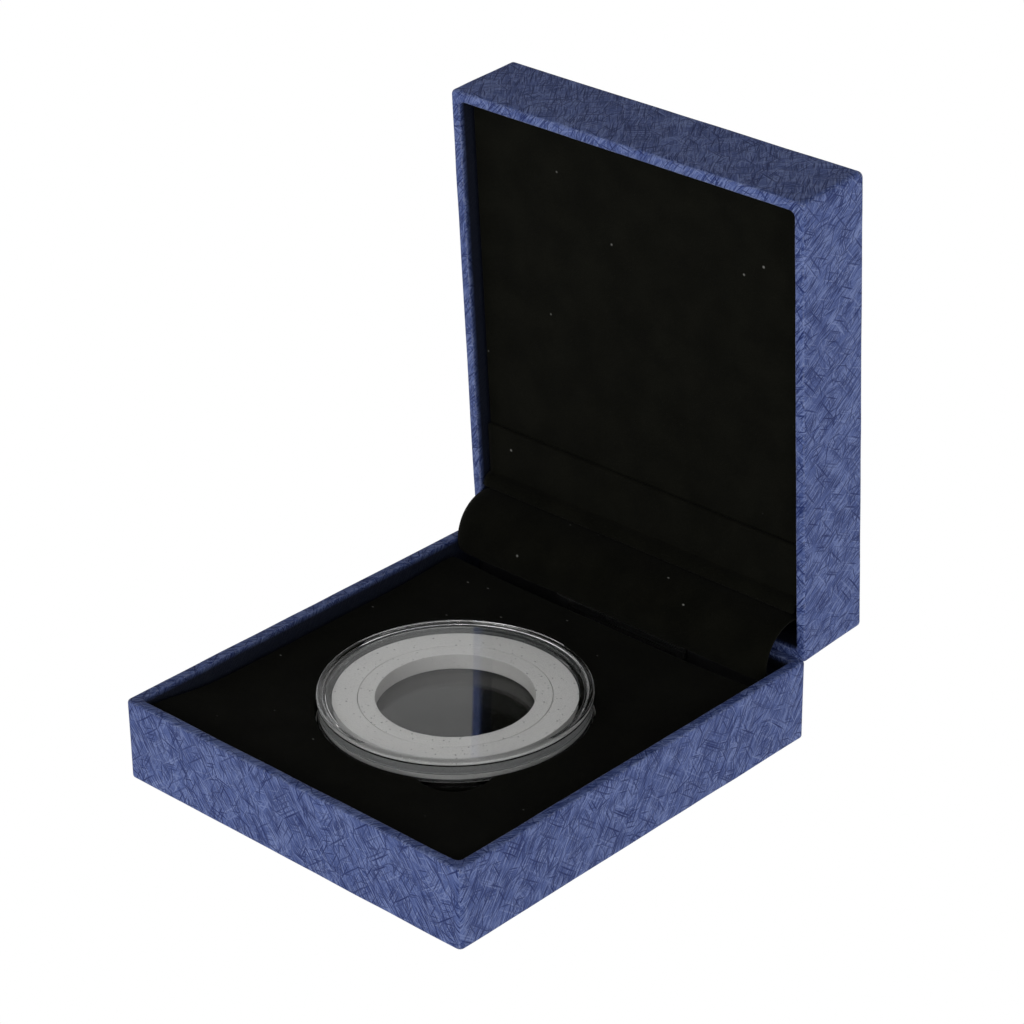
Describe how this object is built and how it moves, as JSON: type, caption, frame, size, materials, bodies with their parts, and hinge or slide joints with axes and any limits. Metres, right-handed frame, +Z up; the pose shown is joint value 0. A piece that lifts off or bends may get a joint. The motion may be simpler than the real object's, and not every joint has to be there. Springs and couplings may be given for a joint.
{
  "type": "coin capsule in a hinged case",
  "caption": "Clear two-shell coin capsule with foam rings, seated in the velvet pad of a hinged paper-covered presentation case.",
  "frame": {"origin": "middle of the flat underside of the base", "axes": "+X runs along the hinge, to the right as seen from the front; +Y runs back towards the hinge; +Z is up"},
  "size_m": [0.085, 0.1117, 0.1124],
  "materials": {
    "blue_paper": "embossed with fine crossed fibres, semi-matt",
    "foot_paper": "flocked, matt",
    "black_velvet": "short pile",
    "shell": "moulded",
    "grey_board": "uncoated",
    "riser_foam": "fine-celled foam",
    "gasket_foam": "fine-celled foam, pale grey",
    "clear_plastic": "polished clear polystyrene",
    "spring_steel": "rolled strip"
  },
  "bodies": {
    "base": {"base_shell": "shell", "base_wrap": "blue_paper", "base_foot_sheet": "foot_paper", "neck_keeper_base": "spring_steel", "joint_cloth_base": "blue_paper"},
    "base_pad": {"pad_velvet": "black_velvet", "pad_board": "grey_board", "recess_disc": "black_velvet", "pad_riser": "riser_foam"},
    "capsule": {"capsule_base": "clear_plastic"},
    "ring_outer": {"foam_ring_outer": "gasket_foam"},
    "ring_inner": {"foam_ring_inner": "gasket_foam"},
    "cover": {"capsule_cover": "clear_plastic"},
    "lid": {"lid_shell": "shell", "lid_wrap": "blue_paper", "neck_keeper_lid": "spring_steel", "joint_cloth_lid": "blue_paper"},
    "lid_pad": {"lid_velvet": "black_velvet", "lid_board": "grey_board", "lid_sponge": "riser_foam", "lid_apron": "black_velvet"},
    "neck": {"neck_velvet": "black_velvet", "neck_plate": "spring_steel", "snap_spring_left": "spring_steel", "snap_spring_right": "spring_steel"}
  },
  "joints": [
    {"name": "lid_hinge", "type": "hinge", "parent": "base", "child": "lid", "pos_m": [0, 0.04675, 0.0174], "axis": [-1, 0, 0], "range_deg": [-87, 0]},
    {"name": "neck_turn", "type": "hinge", "parent": "base", "child": "neck", "pos_m": [0, 0.04675, 0.0174], "axis": [-1, 0, 0], "range_deg": [-43.5, 0]},
    {"name": "lid_pad_pull", "type": "slide", "parent": "lid", "child": "lid_pad", "axis": [0, -0.9986, -0.0523], "range_m": [0, 0.009]},
    {"name": "base_pad_lift", "type": "slide", "parent": "base", "child": "base_pad", "axis": [0, 0, 1], "range_m": [0, 0.022]},
    {"name": "capsule_lift", "type": "slide", "parent": "base_pad", "child": "capsule", "axis": [0, 0, 1], "range_m": [0, 0.025]},
    {"name": "cover_lift", "type": "slide", "parent": "capsule", "child": "cover", "axis": [0, 0, 1], "range_m": [0, 0.022]},
    {"name": "ring_outer_lift", "type": "slide", "parent": "capsule", "child": "ring_outer", "axis": [0, 0, 1], "range_m": [0, 0.0099]},
    {"name": "ring_inner_lift", "type": "slide", "parent": "ring_outer", "child": "ring_inner", "axis": [0, 0, 1], "range_m": [0, 0.0055]}
  ],
  "couplings": [
    {"joint": "neck_turn", "follows": "lid_hinge", "ratio": 0.5},
    {"joint": "ring_outer_lift", "follows": "cover_lift", "ratio": 0.45},
    {"joint": "ring_inner_lift", "follows": "cover_lift", "ratio": 0.25}
  ]
}
